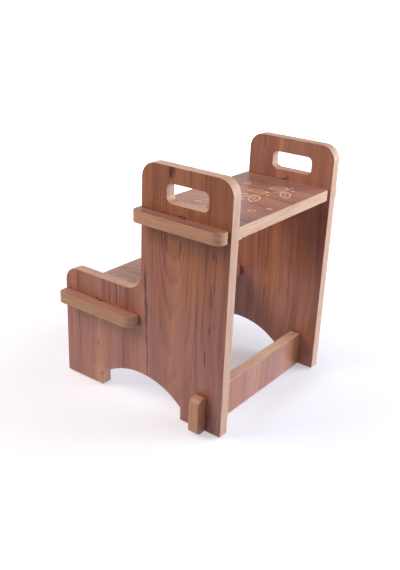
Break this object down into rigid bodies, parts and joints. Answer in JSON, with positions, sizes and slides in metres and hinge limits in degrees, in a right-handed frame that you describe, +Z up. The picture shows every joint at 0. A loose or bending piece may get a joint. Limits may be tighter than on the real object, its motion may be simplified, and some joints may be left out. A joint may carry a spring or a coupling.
{
  "type": "toddler step stool",
  "caption": "Two-step wooden toddler stool with notched side panels, hand holds, a platform, a lower step and a rear stretcher that slot together without fasteners.",
  "frame": {"origin": "on the floor, under the middle of the footprint", "axes": "+X to the right of a person in front of the stool, +Y from the step side to the rear, +Z up"},
  "size_m": [0.3326, 0.315, 0.392],
  "materials": {
    "walnut_faced_board": "satin lacquered walnut faces, pale core at the cut edges",
    "clear_rubber": "smooth translucent"
  },
  "bodies": {
    "root": {"side_panel_right": "walnut_faced_board", "side_panel_left": "walnut_faced_board", "platform": "walnut_faced_board", "step": "walnut_faced_board", "rear_stretcher": "walnut_faced_board", "bumper_front_right": "clear_rubber", "bumper_rear_right": "clear_rubber", "bumper_front_left": "clear_rubber", "bumper_rear_left": "clear_rubber"}
  },
  "joints": []
}
